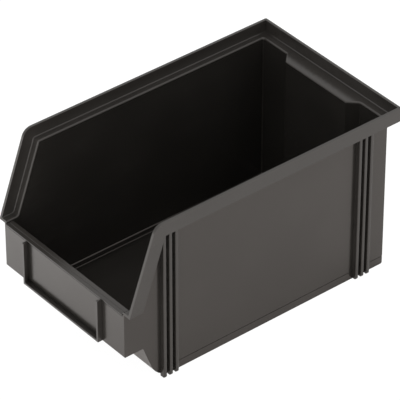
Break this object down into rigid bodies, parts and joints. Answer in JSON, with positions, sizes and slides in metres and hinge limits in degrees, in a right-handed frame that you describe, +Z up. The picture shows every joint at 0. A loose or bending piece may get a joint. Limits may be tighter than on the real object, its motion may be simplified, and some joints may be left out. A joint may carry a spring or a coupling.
{
  "type": "open-fronted stacking storage bin",
  "caption": "Open-fronted plastic stacking bin with a stepped rim, sloping front cut-away, stiffening ribs, label rails and a hanging recess in its back.",
  "frame": {"origin": "middle of the bounding box, on the ground that the bin stands on", "axes": "+Z up; +Y towards the closed back; the low front with its label rails faces -Y; +X is the right-hand side seen from the front"},
  "size_m": [0.14, 0.2348, 0.13],
  "materials": {
    "black_plastic": "satin, finely grained moulded surface"
  },
  "bodies": {
    "root": {"left_wall": "black_plastic", "left_foot": "black_plastic", "left_ledge": "black_plastic", "left_flange": "black_plastic", "left_front_rib_1": "black_plastic", "left_front_rib_2": "black_plastic", "left_front_rib_3": "black_plastic", "left_rear_rib_1": "black_plastic", "left_rear_rib_2": "black_plastic", "left_rear_rib_3": "black_plastic", "right_wall": "black_plastic", "right_foot": "black_plastic", "right_ledge": "black_plastic", "right_flange": "black_plastic", "right_front_rib_1": "black_plastic", "right_front_rib_2": "black_plastic", "right_front_rib_3": "black_plastic", "right_rear_rib_1": "black_plastic", "right_rear_rib_2": "black_plastic", "right_rear_rib_3": "black_plastic", "back_wall_left": "black_plastic", "back_foot_left": "black_plastic", "recess_cheek_left": "black_plastic", "back_wall_right": "black_plastic", "back_foot_right": "black_plastic", "recess_cheek_right": "black_plastic", "recess_panel": "black_plastic", "back_flange": "black_plastic", "back_ledge": "black_plastic", "recess_ledge": "black_plastic", "floor_panel": "black_plastic", "front_riser": "black_plastic", "front_shelf": "black_plastic", "front_wall": "black_plastic", "front_lip": "black_plastic", "label_rail_left": "black_plastic", "label_rail_right": "black_plastic", "label_rail_bottom": "black_plastic"}
  },
  "joints": []
}
